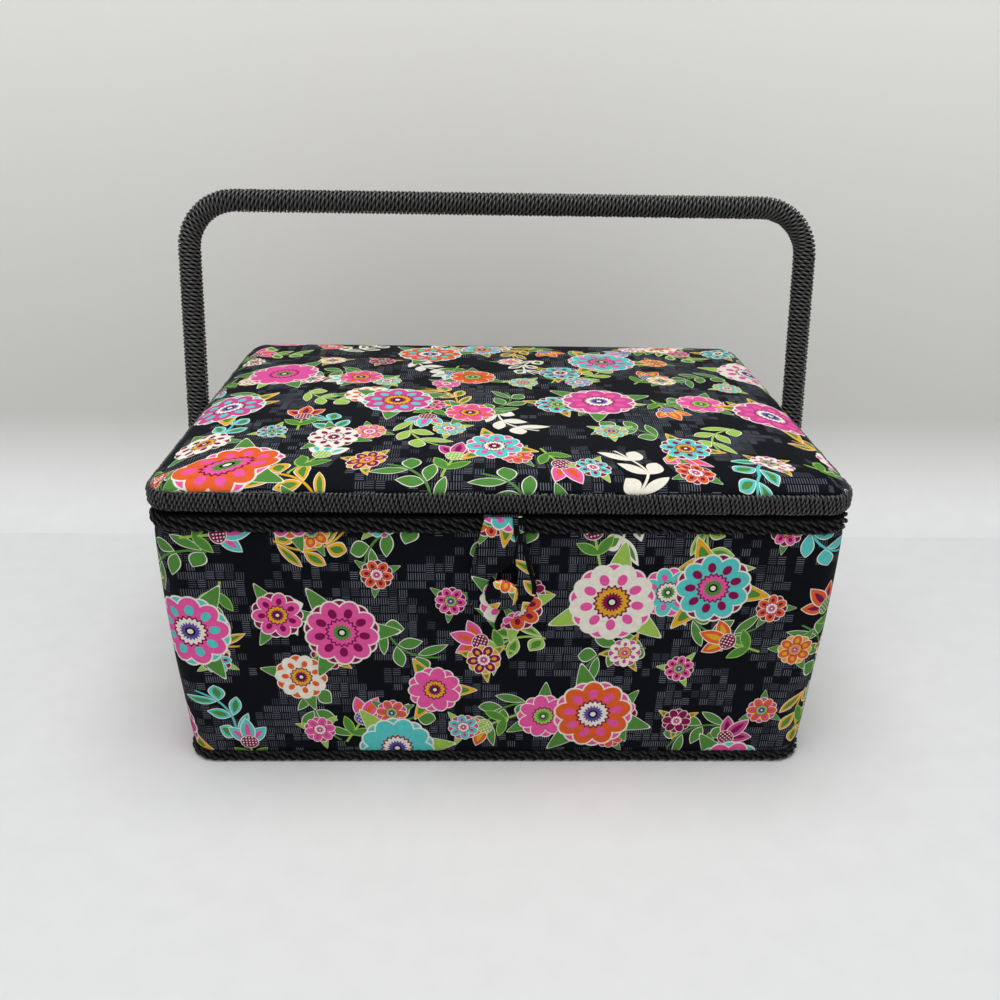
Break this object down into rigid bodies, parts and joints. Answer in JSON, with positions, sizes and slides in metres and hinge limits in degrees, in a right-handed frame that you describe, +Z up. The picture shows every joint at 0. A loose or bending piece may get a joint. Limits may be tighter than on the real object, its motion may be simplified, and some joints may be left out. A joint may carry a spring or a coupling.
{
  "type": "sewing basket",
  "caption": "Rectangular fabric-covered sewing basket with padded hinged lid, corded trims, fold-down cord-wound carrying handle, loop-and-button closure and lift-out tray.",
  "frame": {"origin": "middle of the underside, on the surface the basket stands on", "axes": "+Z up, front with the button towards -Y, +X to the right seen from the front along the long side"},
  "size_m": [0.3456, 0.2529, 0.2592],
  "materials": {
    "printed_cotton": "printed cotton, dark navy ground with bright flowers",
    "black_cord": "twisted charcoal paper cord, satin",
    "board": "bare fibreboard",
    "satin_lining": "satin lining",
    "foam": "soft wadding",
    "tray_plastic": "moulded, fine matt",
    "steel": "zinc plated",
    "dark_steel": "black oxide",
    "nylon": "turned nylon"
  },
  "bodies": {
    "box": {"base_cover": "printed_cotton", "base_board": "board", "front_board": "board", "back_board": "board", "left_board": "board", "right_board": "board", "body_cover": "printed_cotton", "body_lining": "satin_lining", "base_trim": "black_cord", "rim_trim": "black_cord", "tray_rest_left": "board", "tray_rest_right": "board", "button_shank": "black_cord", "button_head": "printed_cotton", "hinge_leaf_body_left": "dark_steel", "hinge_leaf_body_right": "dark_steel", "hinge_pin_left": "steel", "hinge_pin_right": "steel", "hinge_screw_body_1": "steel", "hinge_screw_body_2": "steel", "hinge_screw_body_3": "steel", "hinge_screw_body_4": "steel"},
    "lid": {"lid_board": "board", "lid_frame": "board", "lid_pad": "foam", "lid_cover": "printed_cotton", "lid_trim": "black_cord", "lid_lining": "satin_lining", "pincushion": "satin_lining", "closure_tab": "printed_cotton", "hinge_leaf_lid_left": "dark_steel", "hinge_leaf_lid_right": "dark_steel", "hinge_screw_lid_1": "steel", "hinge_screw_lid_2": "steel", "hinge_screw_lid_3": "steel", "hinge_screw_lid_4": "steel"},
    "closure_loop": {"closure_loop": "printed_cotton"},
    "pivots": {"pivot_bolt_left": "dark_steel", "pivot_bolt_right": "dark_steel", "pivot_spacer_left": "nylon", "pivot_spacer_right": "nylon", "pivot_washer_left": "steel", "pivot_washer_right": "steel", "pivot_nut_left": "steel", "pivot_nut_right": "steel"},
    "handle": {"handle_core": "steel", "handle_wrap": "black_cord", "handle_end_left": "dark_steel", "handle_end_right": "dark_steel"},
    "tray": {"tray": "tray_plastic"}
  },
  "joints": [
    {"name": "lid_hinge", "type": "hinge", "parent": "box", "child": "lid", "pos_m": [0, 0.1225, 0.1378], "axis": [-1, 0, 0], "range_deg": [0, 100], "deforming": ["closure_loop"]},
    {"name": "loop_swing", "type": "hinge", "parent": "lid", "child": "closure_loop", "pos_m": [0, -0.1209, 0.1388], "axis": [-1, 0, 0], "range_deg": [0, 70]},
    {"name": "pivot_turn", "type": "hinge", "parent": "box", "child": "pivots", "pos_m": [0, 0, 0.092], "axis": [-1, 0, 0], "range_deg": [0, 80]},
    {"name": "handle_swing", "type": "hinge", "parent": "pivots", "child": "handle", "pos_m": [0, 0, 0.092], "axis": [-1, 0, 0], "range_deg": [-129, 29]},
    {"name": "tray_lift", "type": "slide", "parent": "box", "child": "tray", "axis": [0, 0, 1], "range_m": [0, 0.014]}
  ],
  "couplings": [
    {"joint": "pivot_turn", "follows": "lid_hinge", "ratio": 0.8}
  ]
}
